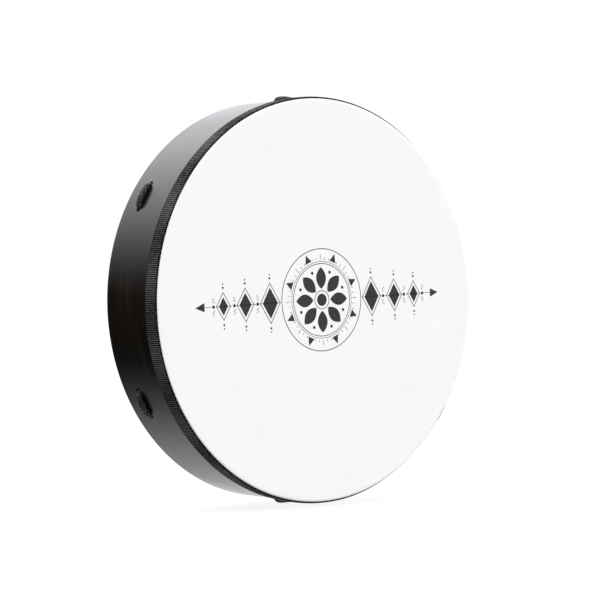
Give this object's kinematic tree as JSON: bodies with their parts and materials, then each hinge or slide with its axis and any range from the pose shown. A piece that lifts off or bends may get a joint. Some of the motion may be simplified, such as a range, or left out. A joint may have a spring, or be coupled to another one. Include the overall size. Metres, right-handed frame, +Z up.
{
  "type": "frame drum",
  "caption": "Round shallow frame drum: bent wooden shell, flat stretched head with a ribbon round its edge, open back crossed by a star of ropes to hold it by.",
  "frame": {"origin": "under the middle of the upright drum, level with the lowest point of the bottom rope stitch", "axes": "+Z up, the drum's round axis along Y, the head facing -Y and the open back facing +Y, +X to the right seen from the head's side"},
  "size_m": [0.4086, 0.0844, 0.4173],
  "materials": {
    "stained_wood": "satin",
    "head_film": "matte",
    "grosgrain": "matte",
    "black_rope": "matte",
    "thin_cord": "matte",
    "head_print": "matte"
  },
  "bodies": {
    "root": {"shell": "stained_wood", "head": "head_film", "edge_ribbon": "grosgrain", "handle_rope_1": "black_rope", "handle_rope_2": "black_rope", "handle_rope_3": "black_rope", "whipping_30": "thin_cord", "whipping_210": "thin_cord", "whipping_90": "thin_cord", "whipping_270": "thin_cord", "whipping_150": "thin_cord", "whipping_330": "thin_cord", "centre_lashing": "thin_cord"}
  },
  "joints": []
}
